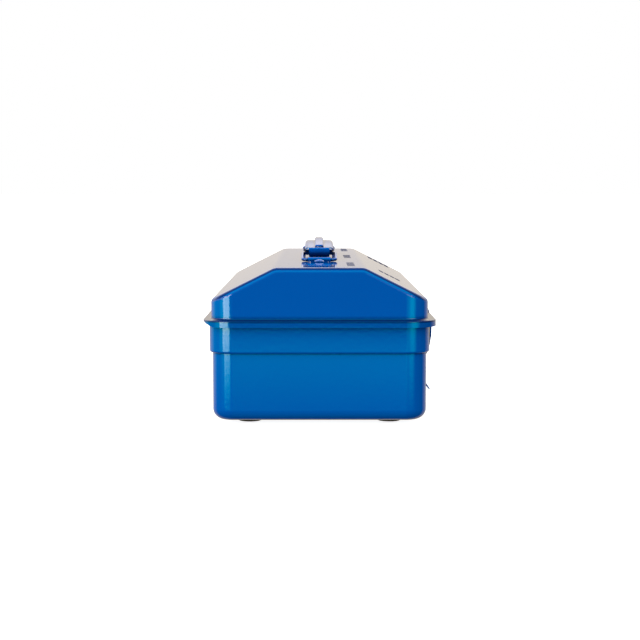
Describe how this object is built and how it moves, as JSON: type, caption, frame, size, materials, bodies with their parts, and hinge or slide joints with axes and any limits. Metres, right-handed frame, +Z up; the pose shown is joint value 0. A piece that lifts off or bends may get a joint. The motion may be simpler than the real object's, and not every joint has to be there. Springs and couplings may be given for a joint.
{
  "type": "metal tool box",
  "caption": "Camber-top steel tool box: stepped tub, hinged lid, folding handle on wire rings, draw latches, lift-out tray and rubber feet.",
  "frame": {"origin": "on the floor, under the centre of the whole box", "axes": "+Z up, +X along the box's length, -Y towards the latches, +Y towards the hinges"},
  "size_m": [0.359, 0.1651, 0.1257],
  "materials": {
    "blue_enamel": "gloss",
    "tray_enamel": "gloss",
    "plated_steel": "satin",
    "black_rubber": "matte"
  },
  "bodies": {
    "tub": {"base_tub": "blue_enamel", "rubber_feet": "black_rubber", "tub_hinge_leaf_left": "blue_enamel", "tub_hinge_leaf_right": "blue_enamel", "hinge_pin_left": "plated_steel", "hinge_pin_right": "plated_steel", "latch_bracket_left": "blue_enamel", "latch_bracket_right": "blue_enamel", "lever_pin_left": "plated_steel", "lever_pin_right": "plated_steel"},
    "lid": {"lid_shell": "blue_enamel", "handle_rivets": "blue_enamel", "lid_hinge_leaf_left": "blue_enamel", "lid_hinge_leaf_right": "blue_enamel", "handle_strap_left": "blue_enamel", "handle_strap_right": "blue_enamel"},
    "grip": {"grip": "blue_enamel"},
    "tray": {"inner_tray": "tray_enamel"},
    "ring_left": {"handle_ring_left": "blue_enamel"},
    "lever_left": {"latch_lever_left": "blue_enamel", "hook_pin_left": "plated_steel"},
    "hook_left": {"latch_hook_left": "blue_enamel"},
    "ring_right": {"handle_ring_right": "blue_enamel"},
    "lever_right": {"latch_lever_right": "blue_enamel", "hook_pin_right": "plated_steel"},
    "hook_right": {"latch_hook_right": "blue_enamel"}
  },
  "joints": [
    {"name": "lid_hinge", "type": "hinge", "parent": "tub", "child": "lid", "pos_m": [0, 0.08045, 0.07295], "axis": [-1, 0, 0], "range_deg": [0, 105]},
    {"name": "tray_lift", "type": "slide", "parent": "tub", "child": "tray", "axis": [0, 0, 1], "range_m": [0, 0.014]},
    {"name": "grip_lift", "type": "slide", "parent": "lid", "child": "grip", "axis": [0, 0, 1], "range_m": [0, 0.0166]},
    {"name": "ring_swing_left", "type": "hinge", "parent": "lid", "child": "ring_left", "pos_m": [-0.0845, 0.00105, 0.1115], "axis": [0, -1, 0], "range_deg": [0, 52]},
    {"name": "lever_swing_left", "type": "hinge", "parent": "tub", "child": "lever_left", "pos_m": [-0.0835, -0.07915, 0.0516], "axis": [-1, 0, 0], "range_deg": [0, 120]},
    {"name": "hook_swing_left", "type": "hinge", "parent": "lever_left", "child": "hook_left", "pos_m": [-0.0835, -0.07835, 0.0451], "axis": [-1, 0, 0], "range_deg": [-120, 0]},
    {"name": "ring_swing_right", "type": "hinge", "parent": "lid", "child": "ring_right", "pos_m": [0.0845, 0.00105, 0.1115], "axis": [0, 1, 0], "range_deg": [0, 52]},
    {"name": "lever_swing_right", "type": "hinge", "parent": "tub", "child": "lever_right", "pos_m": [0.0835, -0.07915, 0.0516], "axis": [-1, 0, 0], "range_deg": [0, 120]},
    {"name": "hook_swing_right", "type": "hinge", "parent": "lever_right", "child": "hook_right", "pos_m": [0.0835, -0.07835, 0.0451], "axis": [-1, 0, 0], "range_deg": [-120, 0]}
  ],
  "couplings": [
    {"joint": "ring_swing_left", "follows": "grip_lift", "rad_per_m": 53.62},
    {"joint": "hook_swing_left", "follows": "lever_swing_left", "ratio": -1},
    {"joint": "ring_swing_right", "follows": "grip_lift", "rad_per_m": 53.62},
    {"joint": "hook_swing_right", "follows": "lever_swing_right", "ratio": -1}
  ]
}
